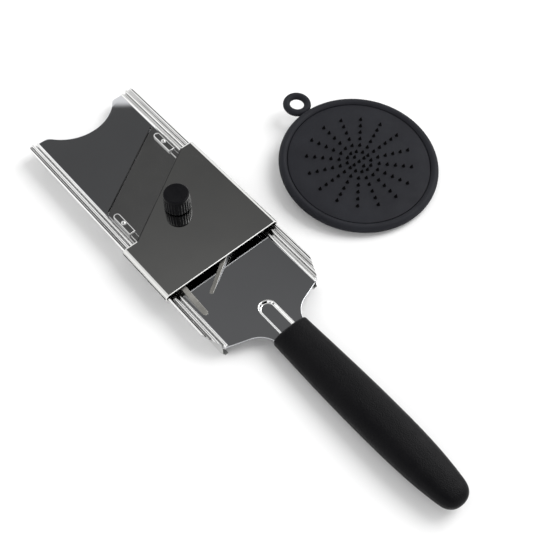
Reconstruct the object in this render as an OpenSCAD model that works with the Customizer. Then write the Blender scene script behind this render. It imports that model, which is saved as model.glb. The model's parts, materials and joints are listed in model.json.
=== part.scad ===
// Hand-held adjustable slicer with its round food holder.
// X runs from the bitten front end to the end of the handle, Y to the food holder's side, Z up.
// The origin is the centre of the set's footprint, on the worktop.

/* [Body] */
// Length of the plate, front edge to shoulders
body_len = 194.3; // [185:0.1:200]
// Flat width of the plate between its turned-up edges
flat_w = 65.2; // [62:0.1:67]
// Height of the plate's top above the worktop
plate_z = 9; // [8.8:0.1:10]
// Sheet thickness of the plate
plate_t = 1; // [0.8:0.1:1]
// Radius of the bite in the front edge
bite_r = 30.5; // [29:0.1:32]
// Depth of the bite
bite_depth = 13.8; // [12:0.1:15]
// Width of the neck in front of the handle
neck_w = 20.6; // [18:0.1:21]

/* [Rails] */
// Sheet thickness of the rails
rail_t = 0.8; // [0.6:0.1:0.8]
// Outside radius of the bead along a rail
bead_r = 1.1; // [1:0.1:1.3]
// Radius of the rolled outer edge
roll_r = 1.1; // [0.8:0.1:1.1]

/* [Cutting] */
// Skew of the mouth and blade, from straight across
skew = 32.2; // [31:0.1:33]
// Front edge of the mouth on the centre line
mouth_x = 55.3; // [54:0.1:56]
// Gap between the mouth's front edge and the blade
mouth_gap = 1.7; // [1.5:0.1:2]
// Length of the blade strip along X
blade_len = 34.3; // [34:0.1:35]
// Thickness of the blade
blade_t = 1; // [0.8:0.1:1]

/* [Slider] */
// Slider's front edge on the centre line
slider_x = 87.4; // [87:0.1:88]
// Slider's back edge
slider_end = 150; // [148:0.5:151]
// Height of the slider's top above the plate
slider_h = 6.1; // [6.1:0.1:6.3]
// How far the slider draws back
slide_back = 14; // [10:0.5:14]
// How far the slider closes the mouth
slide_front = 1.4; // [1:0.1:1.4]

/* [Knob] */
// Place of the clamp screw along the slicer
knob_x = 102.3; // [101:0.1:103]
// Place of the clamp screw across the slicer
knob_y = 3; // [2:0.1:4]
// Radius of the clamp screw
screw_r = 2; // [2:0.1:2.1]
// Radius of the knob over its ribs
knob_r = 8.5; // [8:0.1:9]
// Number of ribs round the knob
knob_ribs = 28; // [20:1:32]

/* [Handle] */
// Front face of the handle
handle_x = 208.8; // [208:0.1:210]
// Length of the handle
handle_len = 133; // [125:0.5:140]
// Half width of the handle at its widest
handle_w = 13.2; // [13:0.1:15]
// Half thickness of the handle
handle_h = 8.2; // [7.8:0.1:8.4]

/* [Food holder] */
// Outside radius of the holder
guard_r = 51.5; // [50:0.1:53]
// Holder's centre along the slicer
guard_x = 146.8; // [140:0.1:155]
// Holder's centre across the slicer
guard_y = 114.2; // [112:0.1:120]
// Lean of the holder towards +X as it lies on its grip
guard_tilt = 5.4; // [4:0.1:6]
// Number of rays of spikes
spike_rays = 16; // [12:1:18]
// Spikes in each ray
ray_spikes = 5; // [4:1:5]
// Inside radius of the hanging ring
ring_hole_r = 4.6; // [4:0.1:5]

/* [Hidden] */

steel = "silver";
black = "#1b1b1d";
charcoal = "#303338";

round_fn = 96;
small_fn = 48;
cut = 0.5;              // overrun of a cutting shape

// body
flat_y = flat_w / 2;
lip_w = 2.3;            // width of the turned-up edge of the plate
lip_h = 1.2;            // its height above the plate
lip_slope = 0.8;        // run of its slopes
plate_y = flat_y + lip_w;
bite_c = bite_depth - bite_r;
corner_r = 3;           // rounding between the front edge and the bite
corner_y = sqrt(pow(bite_r + corner_r, 2) - pow(corner_r - bite_c, 2));
shoulder_a = 71.3;      // slope of the shoulders, from the X axis
shoulder_r = 15;        // hollow that leads a shoulder into the neck
shoulder_y = neck_w / 2 + shoulder_r;
shoulder_run = plate_y - shoulder_y + shoulder_r * cos(shoulder_a);
shoulder_x = body_len + shoulder_run / tan(shoulder_a);
shoulder_cx = shoulder_x + shoulder_r * sin(shoulder_a);
tang_y = 8;             // half width of the tang inside the handle
tang_end = handle_x + 93.2;
neck_end = handle_x + 5;
emboss_x = 190.4;       // centre of the sunk channel's front arc
emboss_r = 5.2;         // half width of the channel at its top
emboss_floor_r = 4.2;   // half width of its floor
emboss_d = 1.6;         // depth of the channel
emboss_wall = 0.5;
emboss_end = handle_x + 4;

// mouth, slot and ramps
open_y = 31;            // half width of the opening under the blade
open_len = 30;          // its length along X
lip_y = 27.5;           // half width of the sloping lip
lip_len = 9;            // sloping lip that leads a slice down
lip_drop = 40;          // slope of that lip
slot_clear = 0.15;
ramp_w = 3.4;           // side ramp under the slider
ramp_y = -29.3;
ramp_end = 171;
ramp_len = 40;
rib_w = 2.6;            // diagonal ramp, parallel to the blade
rib_end = [161.6, -18.9];
ramp_h = slider_h - 0.8 - 0.05;

// rails
flange_in = 29.5;       // inner edge of the welded flange
foot_y = 36.4;          // outside of the foot
toe_w = 3.4;            // foot's inward toe
bead_y = foot_y + 0.55;
bead_z = plate_z + 1.2;
web_z = plate_z + 1.1;
roll_y = 39.95;
roll_z = plate_z + 2.7;
rail_front_r = 6.5;     // plan rounding of a rail's front corner
rail_taper_x = 180;     // start of the taper at a rail's back end
rail_back_y = 35;

// slider
slider_t = 0.8;
slider_z = plate_z + slider_h;
under_z = slider_z - slider_t;
curl_y = 39.3;          // centre of the side curls
curl_r = 3;
curl_lip = 2;           // lip turned in under the rail's rolled edge
diag_front = 32.5;      // diagonal edge's end on the +Y side
diag_back = 31.6;       // diagonal edge's end on the -Y side
skew_t = tan(skew);
reach_y = curl_y + curl_r;

// blade and hangers
blade_y = 31.8;
blade_z = plate_z + 0.15;
bevel_w = 3;
pad_len = 18.4;
pad_w = 4.7;
pad_h = 1.7;
pad_y = 28.8;
pad_x = 16;             // pad centre behind the mouth line
strap_t = 0.8;
strap_w = 3.4;
riser_back = 1.9;       // riser stands this far under the slider's edge
tab_len = 8;
rivet_r = 1;
rivet_head = 1.6;

// clamp and knob
sleeve_r = 5;
plate_len = 18;
plate_wid = 12;
clamp_t = 1.6;
clamp_z = plate_z - plate_t - 0.1 - clamp_t;
spring_h = 1.4;
head_r = 3.8;
head_h = 2;
head_z = clamp_z - spring_h - head_h;
neck_sq = 4;
washer_r = 6.5;
washer_t = 0.8;
knob_z = slider_z + washer_t;
knob_top = plate_z + 18.6;
cap_t = 1.2;
cap_edge = 0.9;         // rounding of the cap's edge
insert_r = 3.2;
insert_len = 7;
screw_top = knob_z + insert_len + 0.2;
rib_depth = 0.5;

// handle
stations = 40;
around = 40;
front_r = 2.6;          // rounding of the handle's front edge, above and below
front_side_r = 1.2;     // and at its sides, next to the neck
taper_from = 0.6;       // share of the length where the handle starts to narrow
end_taper = 0.38;       // how much it narrows before its round end
round_from = 0.93;      // share of the length where the end starts to round
square_n = 2.6;         // squareness of the cross-section
core_x = neck_end + 0.2;
core_len = 96;
core_y = 9.4;
core_h = 5;
core_z = plate_z - plate_t / 2;
pin_r = 1.6;
pin_at = [handle_x + 27.2, handle_x + 67.2];

// food holder
rim_r = 2.9;
rim_c = guard_r - rim_r;
rim_bottom = -6.5;
rim_foot = guard_r - 2.2;
floor_t = 2.5;
floor_top = -2.5;
inner_r = 46.2;
spike_plate_r = 45.8;
spike_plate_t = 1.2;
spike_base = floor_top + spike_plate_t;
spike_r = 1;
spike_tip = 0.15;
spike_h = 2.8;
ray_out = 33.7;
ray_pitch = 5.2;
inner_rings = [[0, 1], [4.3, 4], [7.8, 12]]; // radius and number of the spikes inside the rays
grip_r = 17;
grip_dome_r = 6;        // dome that the leaning holder rests on, with the rim's edge
dome_edge = 60;         // how far round the dome goes, from straight down
screw_bore_r = 1.6;
screw_head_r = 3;
grip_bore_r = 1.5;
ring_c = -60;
ring_z = -3;
ring_mid = 7;
ring_bar = 2.35;
ring_web = 3;
guard_z = -rim_bottom * cos(guard_tilt) + rim_foot * sin(guard_tilt);

dome_z = (grip_dome_r - guard_z) / cos(guard_tilt);
grip_bottom = dome_z - grip_dome_r;

// footprint
set_x = (handle_x + handle_len) / 2;
set_y = (guard_y + guard_r - reach_y) / 2;

function arc(cx, cy, r, a0, a1, n, skip = 0) =
    [for (i = [skip : n]) let (a = a0 + (a1 - a0) * i / n) [cx + r * cos(a), cy + r * sin(a)]];
function reversed(points) = [for (i = [len(points) - 1 : -1 : 0]) points[i]];
function flipped(points, skip = 0) = [for (i = [skip : len(points) - 1]) [points[i][0], -points[i][1]]];
function mouth_at(y) = mouth_x - y * skew_t;
function slider_at(y) = slider_x - y * skew_t;

// moves a shape drawn from the slicer's front end into the set's frame
module placed() {
    translate([-set_x, -set_y, 0]) children();
}

// extrudes a Y-Z outline along X
module along_x(x0, length) {
    translate([x0, 0, 0]) rotate([90, 0, 90]) linear_extrude(length) children();
}

// skewed band across the slicer, measured along X behind the mouth line
module skewed(x0, x1, half_y) {
    polygon([[mouth_at(-half_y) + x0, -half_y], [mouth_at(-half_y) + x1, -half_y],
             [mouth_at(half_y) + x1, half_y], [mouth_at(half_y) + x0, half_y]]);
}

// ---- base ----

module plate_outline() {
    fillet_a = atan2(corner_y, corner_r - bite_c);
    shoulder = concat([[0, -plate_y], [body_len, -plate_y]],
                      arc(shoulder_cx, -shoulder_y, shoulder_r, 90 + shoulder_a, 90, 16),
                      [[neck_end, -neck_w / 2], [neck_end, -tang_y]]);
    tang = arc(tang_end - tang_y, 0, tang_y, -90, 90, 24);
    bite = concat(arc(bite_c, 0, bite_r, 0, fillet_a, 24),
                  arc(corner_r, corner_y, corner_r, fillet_a + 180, 180, 6, 1));
    polygon(concat(shoulder, tang, reversed(flipped(shoulder)), reversed(bite), flipped(bite, 1)));
}

// the plate's turned-up edge, on the +Y side
module edge_lip() {
    along_x(0, body_len)
        polygon([[flat_y, plate_z - plate_t], [flat_y, plate_z],
                 [flat_y + lip_slope, plate_z + lip_h], [plate_y - lip_slope, plate_z + lip_h],
                 [plate_y, plate_z], [plate_y, plate_z - plate_t]]);
}

// ramp that carries the slider, rising forward from its back end at the local origin
module ramp(length, width) {
    intersection() {
        translate([0, width / 2, 0]) rotate([90, 0, 0]) linear_extrude(width)
            polygon([[0, -plate_t / 2], [0, 0], [-length, ramp_h], [-length, -plate_t / 2]]);
        union() {
            translate([-width / 2, 0, -plate_t]) cylinder(r = width / 2, h = 2 * ramp_h, $fn = small_fn);
            translate([-length, -width / 2, -plate_t]) cube([length - width / 2, width, 2 * ramp_h]);
        }
    }
}

// trough with sloping sides and a round front end, r0 wide at z0 and spreading up to z1
module trough(r0, z0, z1, x1) {
    r1 = r0 + (z1 - z0) * (emboss_r - emboss_floor_r) / emboss_d;
    translate([emboss_x, 0, z0]) cylinder(r1 = r0, r2 = r1, h = z1 - z0, $fn = round_fn);
    along_x(emboss_x, x1 - emboss_x) polygon([[-r0, z0], [r0, z0], [r1, z1], [-r1, z1]]);
}

module base_plate() {
    slot_r = screw_r + slot_clear;
    slot_x0 = knob_x - slide_front - neck_sq / 2;
    slot_x1 = knob_x + slide_back + neck_sq / 2;
    color(steel) placed() {
        difference() {
            union() {
                translate([0, 0, plate_z - plate_t]) linear_extrude(plate_t) plate_outline();
                edge_lip();
                mirror([0, 1, 0]) edge_lip();
                trough(emboss_floor_r + emboss_wall, plate_z - plate_t - emboss_d, plate_z - plate_t / 2,
                       emboss_end);
                translate([ramp_end, ramp_y, plate_z]) ramp(ramp_len, ramp_w);
                translate([rib_end[0], rib_end[1], plate_z]) rotate([0, 0, skew - 90])
                    ramp(ramp_len, rib_w);
            }
            translate([0, 0, plate_z - plate_t - cut]) linear_extrude(plate_t + 2 * cut)
                skewed(0, open_len, open_y);
            for (x = [slot_x0, slot_x1])
                translate([x, knob_y, plate_z - plate_t - cut])
                    cylinder(r = slot_r, h = plate_t + 2 * cut, $fn = small_fn);
            translate([slot_x0, knob_y - slot_r, plate_z - plate_t - cut])
                cube([slot_x1 - slot_x0, 2 * slot_r, plate_t + 2 * cut]);
            for (x = pin_at)
                translate([x, 0, plate_z - plate_t - cut])
                    cylinder(r = pin_r, h = plate_t + 2 * cut, $fn = small_fn);
            trough(emboss_floor_r, plate_z - emboss_d, plate_z + cut, emboss_end + cut);
        }
        intersection() {
            translate([mouth_x, 0, plate_z]) rotate([0, 0, skew]) rotate([0, lip_drop, 0])
                translate([-0.3, -flat_w, -plate_t]) cube([lip_len, 2 * flat_w, plate_t]);
            translate([0, 0, 2]) linear_extrude(plate_z - 2) skewed(-1, open_len, lip_y);
        }
    }
}

// section of the +Y rail: flange, foot with toe, bead, web and rolled edge
module rail_section() {
    flange_z = plate_z - plate_t - rail_t;
    translate([flange_in, flange_z]) square([foot_y - flange_in, rail_t]);
    translate([foot_y - rail_t, 0]) square([rail_t, flange_z + rail_t]);
    translate([foot_y - toe_w, 0]) square([toe_w, rail_t]);
    translate([bead_y - bead_r, flange_z]) square([rail_t, bead_z - flange_z]);
    intersection() {
        translate([bead_y, bead_z]) difference() {
            circle(r = bead_r, $fn = small_fn);
            circle(r = bead_r - rail_t, $fn = small_fn);
        }
        translate([bead_y - 2 * bead_r, web_z]) square([4 * bead_r, 4 * bead_r]);
    }
    translate([bead_y + bead_r - rail_t, web_z]) square([roll_y - bead_y - bead_r + rail_t, rail_t]);
    translate([roll_y, roll_z]) circle(r = roll_r, $fn = small_fn);
}

// plan shape of the +Y rail, rounded at the front and tapered at the back
module rail_plan() {
    out_y = roll_y + roll_r;
    polygon(concat([[0, flange_in], [body_len, flange_in], [body_len, rail_back_y],
                    [rail_taper_x, out_y]],
                   arc(rail_front_r, out_y - rail_front_r, rail_front_r, 90, 180, 12)));
}

module rail() {
    intersection() {
        along_x(0, body_len) rail_section();
        linear_extrude(roll_z + 2 * roll_r) rail_plan();
    }
}

module left_rail() {
    color(steel) placed() mirror([0, 1, 0]) rail();
}

module right_rail() {
    color(steel) placed() rail();
}

// ---- handle ----

module core_block() {
    translate([core_x, -core_y, core_z - core_h]) cube([core_len - core_y, 2 * core_y, 2 * core_h]);
    translate([core_x + core_len - core_y, 0, core_z - core_h])
        cylinder(r = core_y, h = 2 * core_h, $fn = round_fn);
}

// the plate's neck, channel and tang, as the handle's parts go round them
module tang_space() {
    below = plate_t + emboss_d;
    translate([0, 0, plate_z - plate_t]) linear_extrude(plate_t) plate_outline();
    translate([handle_x - cut, -emboss_r - emboss_wall, plate_z - below])
        cube([emboss_end + cut - handle_x, 2 * (emboss_r + emboss_wall), below]);
}

module handle_core() {
    color(black) placed() difference() {
        core_block();
        tang_space();
        for (x = pin_at)
            translate([x, 0, core_z - core_h - cut])
                cylinder(r = pin_r, h = 2 * (core_h + cut), $fn = small_fn);
    }
}

module tang_pins() {
    color(steel) placed() for (x = pin_at)
        translate([x, 0, core_z - core_h]) cylinder(r = pin_r, h = 2 * core_h, $fn = small_fn);
}

function ease(a, b, t) = a + (b - a) * t * t * (3 - 2 * t);
// half width along the handle, s from 0 at the front face to 1 at the end
function grip_w(s) =
    s < 0.45 ? ease(handle_w - 2.2, handle_w, 0.5 + s / 0.9) :
    s < 0.75 ? ease(handle_w, handle_w - 0.4, (s - 0.45) / 0.3) : handle_w - 0.4;
// half thickness
function grip_h(s) =
    s < 0.5 ? ease(handle_h - 1, handle_h, 2 * s) : ease(handle_h, handle_h - 0.5, 2 * s - 1);
// height of the middle line
function grip_z(s) = core_z + ease(-0.4, 1.7, s);
function narrowing(s) =
    s < taper_from ? 1 : 1 - end_taper * pow((s - taper_from) / (1 - taper_from), 2.3);
function end_round(s) = narrowing(s)
    * (s < round_from ? 1 : pow(1 - pow((s - round_from) / (1 - round_from), 3), 1 / 2.3));
function front_round(x, size, r) = x >= r ? size : size - r + sqrt(r * r - pow(r - x, 2));
// stations crowd together where the surface turns quickly
function station(i) = 0.5 - 0.5 * cos(180 * i / stations);
function power(v, n) = v < 0 ? -pow(-v, n) : pow(v, n);
function grip_ring(s) =
    let (x = s * handle_len,
         w = front_round(x, grip_w(s) * end_round(s), front_side_r),
         h = front_round(x, grip_h(s) * end_round(s), front_r))
    [for (j = [0 : around - 1]) let (a = 360 * j / around)
        [handle_x + x, w * power(cos(a), 2 / square_n), grip_z(s) + h * power(sin(a), 2 / square_n)]];

module grip_shape() {
    last = stations - 1;
    rings = [for (i = [0 : last]) each grip_ring(station(i))];
    tip = [[handle_x + handle_len, 0, grip_z(1)]];
    front = [[for (j = [0 : around - 1]) j]];
    sides = [for (i = [0 : last - 1], j = [0 : around - 1])
        let (k = (j + 1) % around, a = i * around, b = a + around)
        each [[a + j, b + j, b + k], [a + j, b + k, a + k]]];
    end = [for (j = [0 : around - 1])
        [last * around + j, stations * around, last * around + (j + 1) % around]];
    polyhedron(concat(rings, tip), concat(front, sides, end));
}

module handle_grip() {
    color(black) placed() difference() {
        grip_shape();
        core_block();
        tang_space();
    }
}

// ---- slider ----

module slider_plan() {
    polygon([[slider_at(diag_front), diag_front], [slider_at(diag_front), reach_y + 1],
             [slider_end, reach_y + 1], [slider_end, -reach_y - 1],
             [slider_at(-diag_back), -reach_y - 1], [slider_at(-diag_back), -diag_back]]);
}

// section of the slider: top sheet with a curl down each side
module slider_section() {
    curl_z = slider_z - curl_r;
    translate([-curl_y, under_z]) square([2 * curl_y, slider_t]);
    for (side = [0, 1]) mirror([side, 0]) {
        intersection() {
            translate([curl_y, curl_z]) difference() {
                circle(r = curl_r, $fn = round_fn);
                circle(r = curl_r - slider_t, $fn = round_fn);
            }
            translate([curl_y, curl_z - curl_r]) square([curl_r, 2 * curl_r]);
        }
        translate([curl_y - curl_lip, curl_z - curl_r]) square([curl_lip, slider_t]);
    }
}

module slider_plate() {
    front = slider_at(diag_front);
    color(steel) placed() difference() {
        intersection() {
            along_x(front, slider_end - front) slider_section();
            linear_extrude(slider_z + 1) slider_plan();
        }
        translate([knob_x, knob_y, under_z - cut])
            cylinder(r = screw_r + 0.1, h = slider_t + 2 * cut, $fn = small_fn);
    }
}

// strip with its cutting edge in front, ground from below
module blade() {
    color(steel) placed() difference() {
        translate([0, 0, blade_z]) linear_extrude(blade_t)
            skewed(mouth_gap, mouth_gap + blade_len, blade_y);
        translate([mouth_x + mouth_gap, 0, blade_z + blade_t]) rotate([0, 0, skew])
            rotate([0, atan(blade_t / bevel_w), 0])
                translate([-cut, -flat_w, -2 * bevel_w]) cube([2 * bevel_w, 2 * flat_w, 2 * bevel_w]);
        for (side = [-1, 1]) rivet_hole(side);
    }
}

function pad_centre(side) = [mouth_at(side * pad_y) + pad_x, side * pad_y];

module rivet_hole(side) {
    translate([pad_centre(side)[0], pad_centre(side)[1], blade_z - cut])
        cylinder(r = rivet_r, h = blade_t + pad_h + 2 * cut, $fn = small_fn);
}

// strap that carries one end of the blade: raised pad, thin neck, riser and tab under the slider
module hanger(side) {
    top = blade_z + blade_t;
    centre = pad_centre(side);
    pad_r = pad_w / 2;
    riser_x = slider_at(side * pad_y) + riser_back;
    difference() {
        union() {
            translate([centre[0] - pad_len / 2 + pad_r, centre[1] - pad_r, top])
                cube([pad_len - pad_r, pad_w, pad_h]);
            translate([centre[0] - pad_len / 2 + pad_r, centre[1], top])
                cylinder(r = pad_r, h = pad_h, $fn = small_fn);
            translate([centre[0], centre[1] - strap_w / 2, top])
                cube([riser_x - centre[0], strap_w, strap_t]);
            translate([riser_x, centre[1] - strap_w / 2, top]) cube([strap_t, strap_w, under_z - top]);
            translate([riser_x, centre[1] - strap_w / 2, under_z - strap_t])
                cube([tab_len, strap_w, strap_t]);
        }
        rivet_hole(side);
    }
}

module left_hanger() {
    color(steel) placed() hanger(-1);
}

module right_hanger() {
    color(steel) placed() hanger(1);
}

module hanger_rivets() {
    top = blade_z + blade_t + pad_h;
    color(steel) placed() for (side = [-1, 1]) translate([pad_centre(side)[0], pad_centre(side)[1], 0]) {
        translate([0, 0, blade_z + 0.05]) cylinder(r = rivet_r, h = top - blade_z, $fn = small_fn);
        intersection() {
            translate([0, 0, top]) sphere(r = rivet_head, $fn = small_fn);
            translate([0, 0, top]) cylinder(r = 2 * rivet_head, h = 0.75 * rivet_head, $fn = small_fn);
        }
    }
}

// ---- clamp and knob ----

module at_screw() {
    placed() translate([knob_x, knob_y, 0]) children();
}

module clamp_screw() {
    color(steel) at_screw() {
        translate([0, 0, head_z]) cylinder(r = head_r, h = head_h, $fn = small_fn);
        translate([0, 0, head_z]) cylinder(r = screw_r, h = screw_top - head_z, $fn = small_fn);
        translate([-neck_sq / 2, -neck_sq / 2, clamp_z]) cube([neck_sq, neck_sq, plate_z - clamp_z - 0.1]);
    }
}

module spring_washer() {
    color(steel) at_screw() translate([0, 0, clamp_z - spring_h]) rotate_extrude($fn = round_fn)
        polygon([[screw_r + 0.1, 0], [3, 0], [4.8, spring_h], [3.6, spring_h], [screw_r + 0.1, 0.6]]);
}

module clamp_plate() {
    color(steel) at_screw() translate([0, 0, clamp_z]) difference() {
        translate([-plate_len / 2, -plate_wid / 2, 0]) cube([plate_len, plate_wid, clamp_t]);
        translate([-neck_sq / 2, -neck_sq / 2, -cut]) cube([neck_sq, neck_sq, clamp_t + 2 * cut]);
    }
}

module tube(r, hole, z0, z1) {
    translate([0, 0, z0]) difference() {
        cylinder(r = r, h = z1 - z0, $fn = round_fn);
        translate([0, 0, -cut]) cylinder(r = hole, h = z1 - z0 + 2 * cut, $fn = small_fn);
    }
}

module spacer_sleeve() {
    color(steel) at_screw() tube(sleeve_r, screw_r + 0.05, plate_z + 0.05, under_z);
}

module knob_washer() {
    color(steel) at_screw() tube(washer_r, screw_r + 0.1, slider_z, knob_z);
}

module knob_insert() {
    color("goldenrod") at_screw() tube(insert_r, screw_r + 0.05, knob_z, knob_z + insert_len);
}

// star of ribs, whose valleys lie inside the knob's core
module knob_ribbing() {
    step = 360 / knob_ribs;
    valley = knob_r - 2 * rib_depth;
    polygon([for (i = [0 : knob_ribs - 1]) each
        [for (p = [[0.15, valley], [0.38, knob_r], [0.62, knob_r], [0.85, valley]])
            let (a = (i + p[0]) * step) [p[1] * cos(a), p[1] * sin(a)]]]);
}

module knob_body() {
    body_h = knob_top - cap_t - knob_z;
    color(black) at_screw() difference() {
        union() {
            translate([0, 0, knob_z]) linear_extrude(body_h - 1) knob_ribbing();
            translate([0, 0, knob_z]) cylinder(r = knob_r - rib_depth, h = body_h, $fn = round_fn);
        }
        translate([0, 0, knob_z - cut]) cylinder(r = insert_r, h = insert_len + cut, $fn = small_fn);
        translate([0, 0, knob_z]) cylinder(r = screw_r + 0.6, h = body_h - 1, $fn = small_fn);
    }
}

module knob_cap() {
    r = knob_r - rib_depth;
    edge = arc(r - cap_edge, knob_top - cap_edge, cap_edge, 0, 90, 12);
    color(black) at_screw() rotate_extrude($fn = round_fn)
        polygon(concat([[0, knob_top - cap_t], [r, knob_top - cap_t]], edge, [[0, knob_top]]));
}

// ---- food holder ----

module in_guard() {
    placed() translate([guard_x, guard_y, guard_z]) rotate([0, guard_tilt, 0]) children();
}

module hanging_ring() {
    translate([ring_c, 0, ring_z]) {
        rotate_extrude($fn = round_fn) {
            translate([ring_mid, 0]) circle(r = ring_bar, $fn = small_fn);
            translate([ring_hole_r, -ring_web / 2]) square([ring_mid - ring_hole_r, ring_web]);
        }
    }
}

module guard_dish() {
    color(charcoal) in_guard() {
        difference() {
            union() {
                rotate_extrude($fn = round_fn) {
                    translate([0, floor_top - floor_t]) square([rim_c, floor_t]);
                    translate([rim_c, -rim_r]) circle(r = rim_r, $fn = small_fn);
                    polygon([[inner_r, floor_top - floor_t], [guard_r - 0.01, -rim_r],
                             [rim_foot, rim_bottom], [inner_r + 1, rim_bottom]]);
                }
                translate([ring_c + ring_mid, -ring_web, ring_z - ring_web / 2])
                    cube([2 * ring_web, 2 * ring_web, ring_web]);
            }
            translate([0, 0, floor_top]) cylinder(r = inner_r, h = 4, $fn = round_fn);
            translate([0, 0, floor_top - 1]) cylinder(r = screw_head_r + 0.1, h = 2, $fn = small_fn);
            translate([0, 0, floor_top - floor_t - cut])
                cylinder(r = screw_bore_r, h = floor_t + 2 * cut, $fn = small_fn);
            translate([ring_c, 0, ring_z - 3]) cylinder(r = ring_mid, h = 6, $fn = small_fn);
        }
        hanging_ring();
    }
}

module spike(r, a) {
    translate([r * cos(a), r * sin(a), spike_base - 0.1])
        cylinder(r1 = spike_r, r2 = spike_tip, h = spike_h + 0.1, $fn = 16);
}

module spike_plate() {
    color(charcoal) in_guard() {
        translate([0, 0, floor_top]) cylinder(r = spike_plate_r, h = spike_plate_t, $fn = round_fn);
        for (i = [0 : spike_rays - 1], j = [0 : ray_spikes - 1])
            spike(ray_out - j * ray_pitch, 360 / spike_rays * i);
        for (ring = inner_rings, i = [1 : ring[1]]) spike(ring[0], 360 / ring[1] * i);
    }
}

// shallow grip under the dish, ending in a small dome
module guard_grip() {
    top = floor_top - floor_t;
    dome = arc(0, dome_z, grip_dome_r, -90, dome_edge - 90, 12);
    color(charcoal) in_guard() difference() {
        rotate_extrude($fn = round_fn)
            polygon(concat(dome, [[grip_r - 1, top - 1], [grip_r, top], [0, top]]));
        translate([0, 0, grip_bottom + 2]) cylinder(r = grip_bore_r, h = -grip_bottom, $fn = small_fn);
    }
}

module grip_screw() {
    color(steel) in_guard() {
        translate([0, 0, floor_top - 1]) cylinder(r = screw_head_r, h = 0.9, $fn = small_fn);
        translate([0, 0, grip_bottom + 2.2])
            cylinder(r = grip_bore_r, h = floor_top - grip_bottom - 2.7, $fn = small_fn);
    }
}

base_plate();
left_rail();
right_rail();
handle_core();
tang_pins();
handle_grip();
slider_plate();
blade();
left_hanger();
right_hanger();
hanger_rivets();
clamp_screw();
spring_washer();
clamp_plate();
spacer_sleeve();
knob_washer();
knob_body();
knob_insert();
knob_cap();
guard_dish();
spike_plate();
guard_grip();
grip_screw();
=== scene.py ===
"""Looks of the mandoline slicer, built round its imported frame.

Lengths in the slicer's own frame are in mm, and at() turns them into metres.
"""
import json
import math

import bmesh
import bpy
from mathutils import Matrix, Vector

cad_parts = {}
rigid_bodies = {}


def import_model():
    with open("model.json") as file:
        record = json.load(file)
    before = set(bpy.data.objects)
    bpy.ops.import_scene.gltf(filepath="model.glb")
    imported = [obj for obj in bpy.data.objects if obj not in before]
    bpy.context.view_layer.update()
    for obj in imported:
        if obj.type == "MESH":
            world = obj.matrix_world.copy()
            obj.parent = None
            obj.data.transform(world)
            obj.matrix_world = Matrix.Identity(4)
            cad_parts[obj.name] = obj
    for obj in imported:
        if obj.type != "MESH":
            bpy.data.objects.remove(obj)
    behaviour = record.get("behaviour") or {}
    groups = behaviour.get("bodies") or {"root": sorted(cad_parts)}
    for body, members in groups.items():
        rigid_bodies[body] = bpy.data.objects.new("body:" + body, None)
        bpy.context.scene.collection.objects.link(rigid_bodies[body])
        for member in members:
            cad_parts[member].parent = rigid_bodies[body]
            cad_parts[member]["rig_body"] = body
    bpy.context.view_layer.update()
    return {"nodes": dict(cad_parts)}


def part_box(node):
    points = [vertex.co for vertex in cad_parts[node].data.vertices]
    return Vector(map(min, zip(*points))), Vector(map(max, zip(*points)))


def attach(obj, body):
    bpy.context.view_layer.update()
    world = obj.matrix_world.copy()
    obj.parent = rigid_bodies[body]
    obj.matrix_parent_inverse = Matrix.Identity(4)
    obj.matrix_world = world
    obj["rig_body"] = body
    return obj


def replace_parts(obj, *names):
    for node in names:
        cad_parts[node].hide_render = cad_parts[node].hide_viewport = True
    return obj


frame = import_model()
NODES = frame["nodes"]
MM = 0.001

# the slicer's own frame: X from its front edge, Y from its axis, Z from the worktop
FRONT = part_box("left_rail")[0].x
AXIS = (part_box("left_rail")[0].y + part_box("right_rail")[1].y) / 2
PLATE_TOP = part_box("right_rail")[1].z / MM - 3.8


def at(x, y, z):
    """A point of the slicer's own frame, in mm, as a point of the row frame in metres."""
    return Vector((FRONT + x * MM, AXIS + y * MM, z * MM))


def in_slicer(point):
    """The same point back in the slicer's own frame, in mm."""
    return (point.x - FRONT) / MM, (point.y - AXIS) / MM, point.z / MM


# ---------------------------------------------------------------- mesh helpers

def arc(cx, cy, r, a0, a1, n, skip=0):
    """Points on an arc, angles in degrees."""
    steps = [math.radians(a0 + (a1 - a0) * i / n) for i in range(skip, n + 1)]
    return [(cx + r * math.cos(a), cy + r * math.sin(a)) for a in steps]


def finish_mesh(name, bm, body, look, sharp=35, weighted=True):
    """Turns a bmesh into a smooth-shaded object that rides on a body."""
    bmesh.ops.recalc_face_normals(bm, faces=bm.faces)
    mesh = bpy.data.meshes.new(name)
    bm.to_mesh(mesh)
    bm.free()
    mesh.shade_smooth()
    mesh.set_sharp_from_angle(angle=math.radians(sharp))
    mesh.materials.append(look)
    obj = bpy.data.objects.new(name, mesh)
    bpy.context.scene.collection.objects.link(obj)
    if weighted:
        modifier = obj.modifiers.new("flat faces stay flat", "WEIGHTED_NORMAL")
        modifier.keep_sharp = True
    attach(obj, body)
    return obj


def paint(obj, looks, pick):
    """Gives the object more materials; pick says which one of all of them a face takes."""
    for look in looks:
        obj.data.materials.append(look)
    for face in obj.data.polygons:
        face.material_index = pick(face)


def bevel_sharp(bm, width):
    """Rounds the edges that turn by more than 30 degrees."""
    sharp = [e for e in bm.edges if len(e.link_faces) == 2 and e.calc_face_angle(0) > math.radians(30)]
    bmesh.ops.bevel(bm, geom=sharp, offset=width * MM, segments=2, profile=0.5, affect="EDGES",
                    clamp_overlap=True)


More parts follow.
